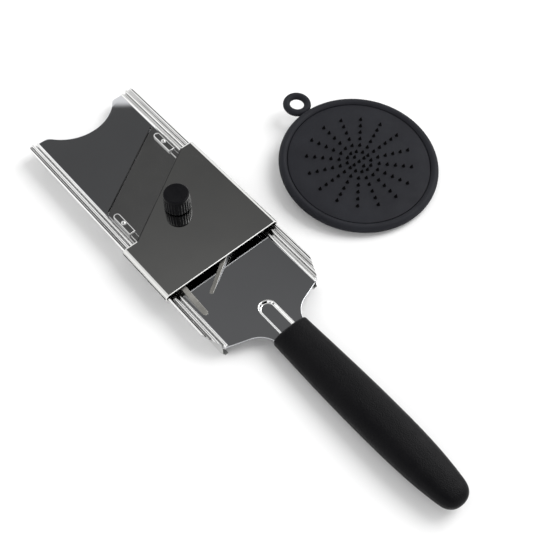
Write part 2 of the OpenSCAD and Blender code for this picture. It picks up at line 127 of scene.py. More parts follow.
def refined(node, look, width):
    """Stands for a CAD node: the same shape, with its edges rounded by width."""
    body = NODES[node]["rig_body"]
    bm = bmesh.new()
    bm.from_mesh(NODES[node].data)
    bmesh.ops.remove_doubles(bm, verts=bm.verts, dist=1e-6)
    bmesh.ops.dissolve_limit(bm, angle_limit=math.radians(0.4), verts=bm.verts, edges=bm.edges)
    bevel_sharp(bm, width)
    obj = finish_mesh(node + "_finished", bm, body, look)
    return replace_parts(obj, node)


def skin(bm, rings, closed=True):
    """Faces between each ring of vertices and the next one."""
    for a, b in zip(rings, rings[1:]):
        n = len(a)
        for i in range(n if closed else n - 1):
            k = (i + 1) % n
            bm.faces.new((a[i], a[k], b[k], b[i]))


def lathe(profile, segments, closed=False):
    """A profile of (r, z) points turned round Z; a point with r = 0 becomes one vertex."""
    bm = bmesh.new()
    rings = []
    for r, z in profile:
        if r < 1e-9:
            rings.append([bm.verts.new((0, 0, z * MM))])
            continue
        turns = [2 * math.pi * i / segments for i in range(segments)]
        rings.append([bm.verts.new((r * MM * math.cos(a), r * MM * math.sin(a), z * MM)) for a in turns])
    pairs = list(zip(rings, rings[1:]))
    if closed:
        pairs.append((rings[-1], rings[0]))
    for low, high in pairs:
        for i in range(segments):
            k = (i + 1) % segments
            corners = [low[i % len(low)], low[k % len(low)], high[k % len(high)], high[i % len(high)]]
            corners = list(dict.fromkeys(corners))
            if len(corners) > 2:
                bm.faces.new(corners)
    return bm


def join(*meshes):
    """One bmesh with all the others' geometry."""
    whole = bmesh.new()
    for bm in meshes:
        part = bpy.data.meshes.new("part")
        bm.to_mesh(part)
        bm.free()
        whole.from_mesh(part)
        bpy.data.meshes.remove(part)
    return whole


def inset(points, d):
    """A closed outline moved d to the left of its direction of travel."""
    moved = []
    n = len(points)
    for i in range(n):
        (ax, ay), (bx, by), (cx, cy) = points[i - 1], points[i], points[(i + 1) % n]
        u = Vector((bx - ax, by - ay)).normalized()
        v = Vector((cx - bx, cy - by)).normalized()
        left = Vector((-u.y - v.y, u.x + v.x))
        grow = d / max(0.3, 0.5 * left.length)
        left.normalize()
        moved.append((bx + left.x * grow, by + left.y * grow))
    return moved


def slab(outlines, z0, z1, top=0.3, low=0.2, steps=4, hole_top=None):
    """Sheet between z0 and z1 with rounded edges.

    Outlines run with the metal on their left, the outer one first. top and low are the radii of the
    edges above and below, and hole_top is the holes' radius above.
    """
    bm = bmesh.new()
    turns = [math.radians(90 * k / steps) for k in range(steps + 1)]
    caps = [[], []]
    for number, outline in enumerate(outlines):
        r = hole_top if number and hole_top else top
        levels = [(low * (1 - math.cos(a)), z0 + low * (1 - math.sin(a))) for a in reversed(turns)]
        levels += [(r * (1 - math.cos(a)), z1 - r * (1 - math.sin(a))) for a in turns]
        rings = [[bm.verts.new(at(x, y, z)) for x, y in inset(outline, d)] for d, z in levels]
        n = len(outline)
        skin(bm, rings)
        for cap, ring in zip(caps, (rings[0], rings[-1])):
            cap += [bm.edges.get((ring[i], ring[(i + 1) % n])) for i in range(n)]
    for cap in caps:
        bmesh.ops.triangle_fill(bm, edges=cap, use_beauty=True, use_dissolve=False)
    return bm


def box_outline(x0, x1, y0, y1):
    """Corners of a rectangle, anticlockwise."""
    return [(x0, y0), (x1, y0), (x1, y1), (x0, y1)]


def loft(rings, ends=True, closed=True):
    """Skin over rings of points given in mm in the slicer's own frame."""
    bm = bmesh.new()
    made = [[bm.verts.new(at(*p)) for p in ring] for ring in rings]
    skin(bm, made, closed)
    if ends:
        bm.faces.new(made[0])
        bm.faces.new(made[-1])
    return bm


# ---------------------------------------------------------------- node helpers

def add(tree, kind, settings=None, **inputs):
    """A shader node; inputs are values or sockets, named with _ for each space."""
    made = tree.nodes.new("ShaderNode" + kind)
    for key, value in (settings or {}).items():
        setattr(made, key, value)
    for key, value in inputs.items():
        socket = made.inputs[int(key[1:]) if key[0] == "i" and key[1:].isdigit() else key.replace("_", " ")]
        if isinstance(value, bpy.types.NodeSocket):
            tree.links.new(value, socket)
        else:
            socket.default_value = value
    return made


def new_material(name, **settings):
    material = bpy.data.materials.new(name)
    material.use_nodes = True
    shader = material.node_tree.nodes["Principled BSDF"]
    for key, value in settings.items():
        shader.inputs[key.replace("_", " ")].default_value = value
    return material, material.node_tree, shader


def coords(tree, scale=(1, 1, 1), turn=0):
    place = add(tree, "TexCoord").outputs["Object"]
    return add(tree, "Mapping", Vector=place, Scale=scale, Rotation=(0, 0, math.radians(turn))).outputs[0]


def noise(tree, vector, scale, detail=3.0, roughness=0.5):
    made = add(tree, "TexNoise", Vector=vector, Scale=scale, Detail=detail, Roughness=roughness)
    return made.outputs["Fac"]


def spread(tree, value, low, high, start=0.35, end=0.65):
    """A noise value from start to end mapped onto low to high."""
    return add(tree, "MapRange", i0=value, i1=start, i2=end, i3=low, i4=high).outputs[0]


def blend_colours(tree, factor, a, b):
    """Colour from a to b; each is a colour or a socket."""
    mix = add(tree, "Mix", {"data_type": "RGBA"}, i0=factor)
    for socket, colour in ((mix.inputs[6], a), (mix.inputs[7], b)):
        if isinstance(colour, bpy.types.NodeSocket):
            tree.links.new(colour, socket)
        else:
            socket.default_value = (*colour, 1)
    return mix.outputs[2]


def bump(tree, shader, height, strength, distance):
    made = add(tree, "Bump", Height=height, Strength=strength, Distance=distance)
    tree.links.new(made.outputs[0], shader.inputs["Normal"])


# ---------------------------------------------------------------- materials

def steel(name, light, dark, rough_low, rough_high, grain=0.02, turn=0):
    """Polished steel: faint smears in colour and roughness, and hair-fine scratches along the sheet."""
    material, tree, shader = new_material(name, Metallic=1.0)
    wide = coords(tree)
    smears = noise(tree, wide, 28, 4)
    tree.links.new(blend_colours(tree, spread(tree, smears, 0, 1), light, dark), shader.inputs["Base Color"])
    patches = noise(tree, wide, 70, 5, 0.6)
    tree.links.new(spread(tree, patches, rough_low, rough_high), shader.inputs["Roughness"])
    scratches = noise(tree, coords(tree, (60, 2600, 2600), turn), 1, 2)
    bump(tree, shader, scratches, grain, 0.00002)
    return material


def plastic(name, dark, light, rough, grain_scale, grain, specular=0.25):
    """Moulded plastic: fine leather-like grain, with slow changes of colour and gloss."""
    material, tree, shader = new_material(name, IOR=1.48, Specular_IOR_Level=specular)
    wide = coords(tree)
    cloud = spread(tree, noise(tree, wide, 45, 4), 0, 1)
    tree.links.new(blend_colours(tree, cloud, dark, light), shader.inputs["Base Color"])
    gloss = noise(tree, wide, 160, 4)
    tree.links.new(spread(tree, gloss, rough - 0.05, rough + 0.06), shader.inputs["Roughness"])
    cells = add(tree, "TexVoronoi", Vector=wide, Scale=grain_scale).outputs["Distance"]
    fine = noise(tree, wide, grain_scale * 1.7, 3)
    height = add(tree, "Math", {"operation": "ADD"}, i0=cells, i1=fine).outputs[0]
    bump(tree, shader, height, grain, 0.0002)
    return material


PLATE = steel("plate_steel", (0.58, 0.588, 0.607), (0.56, 0.568, 0.587), 0.012, 0.03)
SLIDER = steel("slider_steel", (0.62, 0.62, 0.605), (0.58, 0.58, 0.57), 0.02, 0.05)
# also laid on the base plate's ridges and channel walls as a painted highlight
RAIL = steel("rail_steel", (0.78, 0.78, 0.775), (0.7, 0.7, 0.695), 0.06, 0.12)
BLADE = steel("blade_steel", (0.56, 0.56, 0.555), (0.5, 0.5, 0.5), 0.04, 0.08, 0.04, 32)
HARDWARE = steel("hardware_steel", (0.6, 0.6, 0.59), (0.5, 0.5, 0.49), 0.18, 0.3, 0.08)
# rougher like a real cut face, and lighter than the sheet as a painted highlight on the slider's cut back
# edge
CUT_EDGE_HIGHLIGHT = steel("cut_edge_painted_highlight", (0.9, 0.9, 0.88), (0.78, 0.78, 0.77), 0.5, 0.62, 0.1)
# painted shade: steel darker than the plate, for the shade that falls on the ramps
RAMP_SHADE = steel("ramp_painted_shade", (0.3, 0.295, 0.278), (0.18, 0.177, 0.166), 0.3, 0.42, 0.06)
# painted shade: near-black steel laid where the mouth, edges, slots and undersides stand in shadow
PAINTED_SHADE_STEEL = steel("painted_shade_steel", (0.03, 0.03, 0.03), (0.018, 0.018, 0.018), 0.4, 0.6, 0.1)
BRASS = steel("brass", (0.8, 0.62, 0.32), (0.66, 0.48, 0.22), 0.2, 0.32, 0.08)
GRIP = plastic("grip_black", (0.0018, 0.0018, 0.0025), (0.0032, 0.0031, 0.0038), 0.36, 1400, 0.6, 0.09)
KNOB = plastic("knob_black", (0.0024, 0.0024, 0.0034), (0.004, 0.004, 0.005), 0.34, 2500, 0.1, 0.08)
CORE = plastic("core_black", (0.02, 0.02, 0.02), (0.03, 0.03, 0.03), 0.5, 900, 0.1)
# painted shade: a darker copy of the holder's plastic for its spikes
SPIKES = plastic("spike_painted_shade", (0.002, 0.002, 0.0024), (0.0035, 0.0035, 0.004), 0.45, 1800, 0.1, 0.03)
HOLDER = plastic("holder_charcoal", (0.013, 0.0133, 0.0165), (0.0165, 0.0172, 0.021), 0.52, 1800, 0.25, 0.08)


# ---------------------------------------------------------------- base

BODY_LEN = 194.3
FLAT_Y = 32.6
PLATE_Y = 34.9
LIP_H = 1.2
BITE_R = 30.5
BITE_DEPTH = 13.8
CORNER_R = 3
SHOULDER_A = 71.3
SHOULDER_R = 15
NECK_Y = 10.3
NECK_END = 213.8
TANG_Y = 8
TANG_END = 302
SKEW_DEG = 32.2
SKEW = math.tan(math.radians(SKEW_DEG))
MOUTH_X = 55.3
OPEN_Y = 31
LIP_Y = 27.5
OPEN_LEN = 30
LIP_RUN = 9
LIP_DROP = math.radians(40)
KNOB_LOW, KNOB_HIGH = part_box("knob_body")
KNOB_MIDDLE = (KNOB_LOW + KNOB_HIGH) / 2
KNOB_X, KNOB_Y = in_slicer(KNOB_MIDDLE)[:2]
SLOT_R = 2.15
SLOT_START = KNOB_X - 3.4
SLOT_END = KNOB_X + 16
PINS = (236, 276)
PIN_R = 1.6


def circle(x, y, r):
    """Clockwise circle, so that the metal is outside it."""
    n = 32
    return arc(x, y, r, 360, 360 / n, n - 1)


def mouth_at(y):
    """X of the mouth's front edge."""
    return MOUTH_X - y * SKEW


def skewed(x0, x1, half_y):
    """Band parallel to the mouth, clockwise."""
    return [(mouth_at(-half_y) + x0, -half_y), (mouth_at(half_y) + x0, half_y),
            (mouth_at(half_y) + x1, half_y), (mouth_at(-half_y) + x1, -half_y)]


def plate_outline():
    """Plan of the sheet, anticlockwise from its right front corner."""
    bite_c = BITE_DEPTH - BITE_R
    corner_y = math.sqrt((BITE_R + CORNER_R) ** 2 - (CORNER_R - bite_c) ** 2)
    fillet = math.degrees(math.atan2(corner_y, CORNER_R - bite_c))
    slope = math.radians(SHOULDER_A)
    shoulder_y = NECK_Y + SHOULDER_R
    run = PLATE_Y - shoulder_y + SHOULDER_R * math.cos(slope)
    shoulder_x = BODY_LEN + run / math.tan(slope)
    centre_x = shoulder_x + SHOULDER_R * math.sin(slope)
    side = [(0, -PLATE_Y), (BODY_LEN, -PLATE_Y)]
    side += arc(centre_x, -shoulder_y, SHOULDER_R, 90 + SHOULDER_A, 90, 20)
    side += [(NECK_END, -NECK_Y), (NECK_END, -TANG_Y)]
    tang = arc(TANG_END - TANG_Y, 0, TANG_Y, -90, 90, 24)
    bite = arc(bite_c, 0, BITE_R, 0, fillet, 32) + arc(CORNER_R, corner_y, CORNER_R, fillet + 180, 180, 8, 1)
    other_side = [(x, -y) for x, y in reversed(side)]
    return side + tang + other_side + bite[::-1] + [(x, -y) for x, y in bite[1:]]


def edge_lip(side):
    """Rounded ridge along the plate's edge."""
    middle = (FLAT_Y + PLATE_Y) / 2 - 0.05
    half = PLATE_Y - middle
    section = [(middle + half * u / 8, LIP_H * math.cos(math.pi / 2 * u / 8) ** 0.8) for u in range(-8, 9)]
    section = [(section[0][0], -0.1)] + section + [(section[-1][0], -0.1)]
    rings = []
    for x, share in ((0, 0.5), (0.1, 0.75), (0.3, 0.93), (0.6, 1), (BODY_LEN - 0.6, 1),
                     (BODY_LEN - 0.3, 0.93), (BODY_LEN - 0.1, 0.75), (BODY_LEN, 0.5)):
        rings.append([(x, side * y, PLATE_TOP + z * share) for y, z in section])
    return loft(rings)


EMBOSS_X = 190.4
EMBOSS_R = 5.2
EMBOSS_RIM_R = EMBOSS_R + 0.45
EMBOSS_FLOOR_R = 4.2
EMBOSS_DEPTH = 1.6
EMBOSS_BEND = 0.62
EMBOSS_SLOPE = 74
EMBOSS_END = 212.8


def channel():
    """Sunk channel of the neck.

    Its walls roll over at the top and into its floor, and its tray closes it below.
    """
    z = PLATE_TOP
    profile = [(EMBOSS_RIM_R, 0.0)]
    for k in range(1, 6):
        a = math.radians(EMBOSS_SLOPE * k / 5)
        profile.append((EMBOSS_RIM_R - EMBOSS_BEND * math.sin(a), -EMBOSS_BEND * (1 - math.cos(a))))
    for k in range(5, -1, -1):
        a = math.radians(EMBOSS_SLOPE * k / 5)
        profile.append((EMBOSS_FLOOR_R - 0.35 + EMBOSS_BEND * math.sin(a),
                        -EMBOSS_DEPTH + EMBOSS_BEND * (1 - math.cos(a))))
    outside = [(EMBOSS_FLOOR_R + 0.5, -EMBOSS_DEPTH - 0.8), (EMBOSS_R + 0.7, -0.7)]
    rings = []
    around = [(EMBOSS_END, 0, -1)] + [(EMBOSS_X, 0, -1)]
    around += [(EMBOSS_X, -math.sin(t), -math.cos(t)) for t in (math.pi * i / 36 for i in range(1, 36))]
    around += [(EMBOSS_X, 0, 1), (EMBOSS_END, 0, 1)]
    for x, forward, across in around:
        rings.append([(x + r * forward, r * across, z + h) for r, h in profile])
    bm = loft(rings, ends=False, closed=False)
    floor_ring = [bm.verts.new(at(*ring[-1])) for ring in rings]
    bm.faces.new(floor_ring)
    below = loft([[(x + r * forward, r * across, z + h) for r, h in outside]
                  for x, forward, across in around], ends=False, closed=False)
    low_ring = [below.verts.new(at(x + outside[0][0] * f, outside[0][0] * a, z + outside[0][1]))
                for x, f, a in around]
    below.faces.new(low_ring)
    return join(bm, below)


def channel_hole():
    """Plan of the channel where it leaves the plate's top, with the metal outside it."""
    r = EMBOSS_RIM_R
    return ([(EMBOSS_END, -r), (EMBOSS_X, -r)] + arc(EMBOSS_X, 0, r, 270, 90, 36)[1:-1]
            + [(EMBOSS_X, r), (EMBOSS_END, r)])


RAMP_LEN = 40
RAMP_H = 5.25
RAMP_EDGE_R = 0.28
SIDE_RAMP = ((171, -29.3), 0, 3.4)
DIAGONAL_RAMP = ((161.6, -18.9), SKEW_DEG - 90, 2.6)
RAMP_PARTING = -24


def ramp(end, turn, width):
    """Flat-topped ramp that rises forward from its round back end, with softened edges."""
    a = math.radians(turn)
    rings = []
    for d in (0.02, 0.08, 0.2, 0.4, 0.7, 1.0, 1.4, 2.0, 3, 5, 10, 20, 30, RAMP_LEN):
        half = width / 2 * math.sqrt(1 - (1 - min(1, d / (width / 2))) ** 2)
        top = RAMP_H * d / RAMP_LEN + 0.06 * min(1, d / 0.4)
        r = min(RAMP_EDGE_R, 0.9 * top, 0.5 * half)
        edge = [(half, -0.02)] + arc(half - r, top - r, r, 0, 90, 5)
        section = edge + [(-across, up) for across, up in reversed(edge)]
        rings.append([(end[0] - d * math.cos(a) - across * math.sin(a),
                       end[1] - d * math.sin(a) + across * math.cos(a), PLATE_TOP + up)
                      for across, up in section])
    return loft(rings)


def throat_lip():
    """Lip behind the mouth's front edge, which leads a slice down."""
    run, fall = LIP_RUN * math.cos(LIP_DROP), LIP_RUN * math.sin(LIP_DROP)
    section = [(-0.4, -0.35), (0.1, -0.3), (0.5, -0.55), (run, -fall), (run - 0.6, -fall - 0.75)]
    section.append((-0.4, -0.95))
    return loft([[(mouth_at(y) + x, y, PLATE_TOP + z) for x, z in section] for y in (-LIP_Y, LIP_Y)])


def base_look(face):
    """0 is the plate, 1 a painted highlight in the brighter rail steel on its ridges and channel walls, 2
    painted shade on its edges at the mouth and on some of the ramps' steep sides, 3 the ramps in a darker
    steel that paints the shade on them.
    """
    x, y, z = in_slicer(face.center)
    up = z - PLATE_TOP
    from_mouth = x - mouth_at(y)
    # painted highlight: the edge ridges and the channel's sloped walls take the brighter rail steel (1)
    in_channel = x > EMBOSS_X - EMBOSS_R - 0.6 and abs(y) < EMBOSS_R + 0.6 and 0.02 < face.normal.z < 0.999
    if abs(y) > FLAT_Y - 0.3 and up > -0.15 and x < BODY_LEN + 1 or in_channel:
        return 1
    # painted shade: the lip behind the mouth and the mouth's cut edge take the near-black steel (2)
    on_lip = 0.03 < from_mouth < 12 and up < -0.05
    on_mouth_edge = -0.6 < from_mouth < 0.1 and -0.95 < up < -0.002
    if abs(y) < OPEN_Y and (on_lip or on_mouth_edge):
        return 2
    # painted shade: the ramps take a darker steel (3), and their steep sides where y is above RAMP_PARTING
    # the near-black steel (2)
    if abs(y) < FLAT_Y - 0.3 and up > 0.02:
        return 2 if abs(face.normal.z) < 0.3 and y > RAMP_PARTING else 3
    return 0


def base_plate():
    """Sheet with its mouth, slot, channel, ridges, lip and ramps."""
    opening = skewed(0, OPEN_LEN, OPEN_Y)
    slot = (arc(SLOT_START, KNOB_Y, SLOT_R, 270, 90, 12) + arc(SLOT_END, KNOB_Y, SLOT_R, 90, -90, 12))
    holes = [opening, slot, channel_hole()] + [circle(x, 0, PIN_R) for x in PINS]
    sheet = slab([plate_outline()] + holes, PLATE_TOP - 1, PLATE_TOP, 0.3, 0.3, hole_top=0.12)
    bm = join(sheet, edge_lip(-1), edge_lip(1), channel(), throat_lip(),
              ramp(*SIDE_RAMP), ramp(*DIAGONAL_RAMP))
    obj = finish_mesh("base_plate_finished", bm, "body", PLATE, sharp=50)
    # painted highlight and painted shade: brighter rail steel on the ridges, near-black and darker steel at
    # the mouth and on the ramps
    paint(obj, (RAIL, PAINTED_SHADE_STEEL, RAMP_SHADE), base_look)
    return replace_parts(obj, "base_plate")


# ---------------------------------------------------------------- slider

SLIDER_X = 87.4
SLIDER_END = 150
SLIDER_T = 0.8
SLIDER_TOP = PLATE_TOP + 6.1
FRONT_EDGE = (1.1, 0.6)
BACK_EDGE = (0.38, 0.38)
CURL_Y = 39.3
CURL_R = 3
CURL_LIP = 2
DIAG_FRONT = 32.5
DIAG_BACK = -31.6


def slider_front(y):
    """X of the slider's front edge, skewed between its two straight ends."""
    return SLIDER_X - max(DIAG_BACK, min(DIAG_FRONT, y)) * SKEW


def slider_lines():
    """Outer and inner line of the slider's section, from the right curl's lip to the left one's."""
    middle = SLIDER_TOP - CURL_R
    flat = [DIAG_FRONT + 0.01, DIAG_FRONT, 10, 0, -10, DIAG_BACK, DIAG_BACK - 0.01]
    lines = []
    for r in (CURL_R, CURL_R - SLIDER_T):
        curl = [(CURL_Y - CURL_LIP, middle - r)] + arc(CURL_Y, middle, r, -90, 90, 30)
        lines.append(curl + [(y, middle + r) for y in flat] + [(-y, z) for y, z in reversed(curl)])
    return lines


def slider_back(y):
    """X of the slider's back edge, the same at every y."""
    return SLIDER_END


def slider_look(face):
    """0 is the sheet, 1 its cut back edge with a painted highlight, 2 painted shade on its front edge and on
    the undersides of its curls.
    """
    x, y = in_slicer(face.center)[:2]
    # painted highlight: the cut back edge takes the lighter cut-edge steel (1)
    if x > SLIDER_END - 0.4:
        return 1
    # painted shade: the skewed front edge and the curls' downward faces take the near-black steel (2)
    on_front = x < slider_front(y) + FRONT_EDGE[0] and 5 - CURL_Y < y < DIAG_FRONT
    under_curl = abs(y) > CURL_Y and face.normal.y * y > 0 and face.normal.z < 0.3
    return 2 if on_front or under_curl else 0


def slider_plate():
    """One bent sheet with rounded ends; its front end is skewed between the curls."""
    outer, inner = slider_lines()
    n = len(outer)
    turns = [math.radians(90 * k / 4) for k in range(5)]
    rings = []
    for end, towards, (length, depth) in ((slider_front, 1, FRONT_EDGE), (slider_back, -1, BACK_EDGE)):
        ends = [(length * (1 - math.cos(a)), depth * (1 - math.sin(a)) / SLIDER_T) for a in turns]
        for along, share in ends[::towards]:
            near = [(end(oy) + towards * along, oy + (iy - oy) * share, oz + (iz - oz) * share)
                    for (oy, oz), (iy, iz) in zip(outer, inner)]
            under = min(share, 0.45 * (1 - depth) / SLIDER_T)
            far = [(end(oy) + towards * along, iy + (oy - iy) * under, iz + (oz - iz) * under)
                   for (oy, oz), (iy, iz) in zip(outer, inner)]
            rings.append(near + far[::-1])
    bm = loft(rings, ends=False)
    bm.verts.ensure_lookup_table()
    total = len(bm.verts)
    for first in (0, total - 2 * n):
        for i in range(n - 1):
            k = 2 * n - 1 - i
            bm.faces.new([bm.verts[first + j] for j in (i, i + 1, k - 1, k)])
    obj = finish_mesh("slider_plate_finished", bm, "slider", SLIDER, sharp=50)
    paint(obj, (CUT_EDGE_HIGHLIGHT, PAINTED_SHADE_STEEL), slider_look)
    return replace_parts(obj, "slider_plate")


# ---------------------------------------------------------------- blade

BLADE_Y = 31.8
BLADE_LEN = 34.3
BLADE_TOP = PLATE_TOP + 1.15
MOUTH_GAP = 1.7
PAD_LEN = 18.4
PAD_W = 4.7
PAD_H = 1.7
PAD_Y = 28.8
PAD_X = 16
STRAP_T = 0.8
STRAP_W = 3.4
TAB_LEN = 8
RISER_BACK = 1.9
GRIND_W = 3 / math.cos(math.radians(SKEW_DEG))
EDGE_T = 0.04
RIVET_R = 1
RIVET_HEAD_R = 1.6
RIVET_HEAD_H = 1.15


def blade():
    """Skewed strip, ground from below to its cutting edge in front."""
    low, high = [], []
    for y in (-BLADE_Y, BLADE_Y):
        x0 = mouth_at(y) + MOUTH_GAP
        x1 = x0 + BLADE_LEN
        top, under = BLADE_TOP, BLADE_TOP - 1
        rings = [(x0, y, top - EDGE_T), (x0 + EDGE_T, y, top), (x1 - 0.2, y, top),
                 (x1, y, top - 0.2), (x1, y, under), (x0 + GRIND_W, y, under)]
        (low if y < 0 else high).extend(rings)
    bm = loft([low, high])
    obj = finish_mesh("blade_finished", bm, "slider", BLADE, sharp=20)
    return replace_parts(obj, "blade")


def hanger(side, name):
    """Strap at one end of the blade: cushioned pad, neck, riser and tab under the slider."""
    top = BLADE_TOP
    cx, cy = mouth_at(side * PAD_Y) + PAD_X, side * PAD_Y
    r = PAD_W / 2
    x0 = cx - PAD_LEN / 2
    pad = [(x0 + PAD_LEN, cy + r)] + arc(x0 + r, cy, r, 90, 270, 24) + [(x0 + PAD_LEN, cy - r)]
    riser = slider_front(side * PAD_Y) + RISER_BACK
    half = STRAP_W / 2
    under = SLIDER_TOP - SLIDER_T
    neck = box_outline(x0 + PAD_LEN - 2, riser, cy - half, cy + half)
    tab = box_outline(riser, riser + TAB_LEN, cy - half, cy + half)
    bm = join(slab([pad], top, top + PAD_H, 0.85, 0.1, 6),
              slab([neck], top, top + STRAP_T, 0.3, 0.1),
              slab([box_outline(riser, riser + STRAP_T, cy - half, cy + half)], top, under, 0.1, 0.1),
              slab([tab], under - STRAP_T, under, 0.1, 0.2))
    obj = finish_mesh(name + "_finished", bm, "slider", BLADE, sharp=50)
    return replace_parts(obj, name)


def hanger_rivets():
    """Domed rivet heads on the pads, each with a shallow ring round it."""
    parts = []
    for side in (-1, 1):
        z = BLADE_TOP + PAD_H
        profile = [(0, BLADE_TOP - 0.9), (RIVET_R, BLADE_TOP - 0.9), (RIVET_R, z)]
        profile += [(RIVET_HEAD_R - 0.02, z), (RIVET_HEAD_R, z + 0.1)]
        for a in (15, 30, 45, 60, 75):
            rise = (RIVET_HEAD_H - 0.1) * math.sin(math.radians(a))
            profile.append((RIVET_HEAD_R * math.cos(math.radians(a)), z + 0.1 + rise))
        profile += [(0, z + RIVET_HEAD_H)]
        bm = lathe(profile, 32)
        cx, cy = mouth_at(side * PAD_Y) + PAD_X, side * PAD_Y
        bm.transform(Matrix.Translation(at(cx, cy, 0)))
        parts.append(bm)
    obj = finish_mesh("hanger_rivets_finished", join(*parts), "slider", BLADE, sharp=50)
    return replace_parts(obj, "hanger_rivets")


# ---------------------------------------------------------------- rails

SHEET = 0.8
BEAD = (36.95, PLATE_TOP + 1.2, 1.1)
ROLL = (39.95, PLATE_TOP + 2.7, 1.1)
SEAM = (86, 113)
SEAM_FLOOR = ROLL[1] + 0.3
WEB_TOP = PLATE_TOP + 1.9
FOOT_Y = 36.4
TOE_Y = 33.0
FLANGE_Y = 29.5
RAIL_LEN = 194.3
RAIL_CORNER_R = 6.5
TAPER_X = 180
TAPER_Y = 35.0


def rail_outline():
    """Y-Z outline of the +Y rail, going round from the toe."""
    flange_top = PLATE_TOP - 1
    flange_low = flange_top - SHEET
    leg_in = BEAD[0] - BEAD[2]
    web_low = WEB_TOP - SHEET
    roll_meet = math.degrees(math.asin((WEB_TOP - ROLL[1]) / ROLL[2]))
    bead_meet = math.degrees(math.asin((WEB_TOP - BEAD[1]) / BEAD[2]))
    points = [(TOE_Y, 0)] + arc(FOOT_Y - 0.9, 0.9, 0.9, -90, 0, 5)
    points += arc(FOOT_Y - 0.4, flange_top - 0.4, 0.4, 0, 90, 3)
    points += [(leg_in + SHEET, flange_top)]
    points += arc(BEAD[0], BEAD[1], BEAD[2] - SHEET, 180, 0, 12)
    points += [(BEAD[0] + BEAD[2] - SHEET, web_low), (ROLL[0], web_low)]
    points += arc(ROLL[0], ROLL[1], ROLL[2], -90, SEAM[0], 24)
    points += [(points[-1][0], SEAM_FLOOR)]
    far_side = arc(ROLL[0], ROLL[1], ROLL[2], SEAM[1], 180 - roll_meet, 14)
    points += [(far_side[0][0], SEAM_FLOOR)] + far_side
    points += arc(BEAD[0], BEAD[1], BEAD[2], bead_meet, 180, 20)
    points += [(leg_in, flange_top), (FLANGE_Y, flange_top), (FLANGE_Y, flange_low)]
    points += [(FOOT_Y - SHEET, flange_low), (FOOT_Y - SHEET, SHEET), (TOE_Y, SHEET)]
    return points


def cut_by(bm, point, normal):
    """Removes what lies beyond a plane, and closes the cut."""
    geometry = bm.verts[:] + bm.edges[:] + bm.faces[:]
    cut = bmesh.ops.bisect_plane(bm, geom=geometry, dist=1e-7, plane_co=point, plane_no=normal,
                                 clear_outer=True)
    rim = [e for e in cut["geom_cut"] if isinstance(e, bmesh.types.BMEdge)]
    bmesh.ops.edgeloop_fill(bm, edges=rim)


def rail(side):
    """side is -1 for the left rail and 1 for the right one."""
    bm = loft([[(x, side * y, z) for y, z in rail_outline()] for x in (0, RAIL_LEN)])
    out_y = ROLL[0] + ROLL[2]
    for step in range(1, 8):
        a = math.radians(90 + 90 * step / 8)
        normal = Vector((math.cos(a), side * math.sin(a), 0))
        middle = at(RAIL_CORNER_R, side * (out_y - RAIL_CORNER_R), 0)
        cut_by(bm, middle + normal * RAIL_CORNER_R * MM, normal)
    taper = Vector((out_y - TAPER_Y, side * (RAIL_LEN - TAPER_X), 0)).normalized()
    cut_by(bm, at(TAPER_X, side * out_y, 0), taper)

    def look(face):
        """0 is the rail, 1 painted shade in the slot along its rolled edge."""
        y, z = in_slicer(face.center)[1:]
        across = -0.5 < side * y - ROLL[0] < 0.2
        return 1 if across and SEAM_FLOOR - 0.01 < z < ROLL[1] + ROLL[2] - 0.1 else 0

    name = "left_rail" if side < 0 else "right_rail"
    obj = finish_mesh(name + "_finished", bm, "body", RAIL)
    # painted shade: near-black steel in the slot of the rolled edge
    paint(obj, (PAINTED_SHADE_STEEL,), look)
    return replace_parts(obj, name)


# ---------------------------------------------------------------- handle

GRIP_LOW, GRIP_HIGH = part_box("handle_grip")
GRIP_LEN = (GRIP_HIGH.x - GRIP_LOW.x) / MM
GRIP_X = (GRIP_LOW.x - FRONT) / MM
GRIP_W = (GRIP_HIGH.y - GRIP_LOW.y) / MM / 2
GRIP_H = 8.2
GRIP_Z = PLATE_TOP - 0.5
GRIP_SQUARENESS = 2.6
FRONT_R = 2.6
FRONT_SIDE_R = 1.2
TAPER_FROM = 0.6
END_TAPER = 0.38
ROUND_FROM = 0.93


def ease(a, b, t):
    """Smooth step from a to b."""
    return a + (b - a) * t * t * (3 - 2 * t)


def front_edge(x, r):
    """How far the rounded front edge lies inside the full size."""
    return 0 if x >= r else math.sqrt(r**2 - (r - x) ** 2) - r


def grip_size(s):
    """Half width, half height and middle height of the grip, s from 0 at its front to 1 at its end."""
    if s < 0.45:
        w = ease(GRIP_W - 2.2, GRIP_W, 0.5 + s / 0.9)
    elif s < 0.75:
        w = ease(GRIP_W, GRIP_W - 0.4, (s - 0.45) / 0.3)
    else:
        w = GRIP_W - 0.4
    h = ease(GRIP_H - 1, GRIP_H, 2 * s) if s < 0.5 else ease(GRIP_H, GRIP_H - 0.5, 2 * s - 1)
    end = 1 if s < TAPER_FROM else 1 - END_TAPER * ((s - TAPER_FROM) / (1 - TAPER_FROM)) ** 2.3
    if s > ROUND_FROM:
        end *= max(0, 1 - ((s - ROUND_FROM) / (1 - ROUND_FROM)) ** 3) ** (1 / 2.3)
    x = s * GRIP_LEN
    return (w * end + front_edge(x, FRONT_SIDE_R), h * end + front_edge(x, FRONT_R),
            GRIP_Z + ease(-0.4, 1.7, s))


def oval(w, h, squareness, n):
    """Superellipse points round (0, 0)."""
    points = []
    for j in range(n):
        a = 2 * math.pi * j / n
        c, s = math.cos(a), math.sin(a)
        power = 2 / squareness
        points.append((math.copysign(abs(c) ** power * w, c), math.copysign(abs(s) ** power * h, s)))
    return points


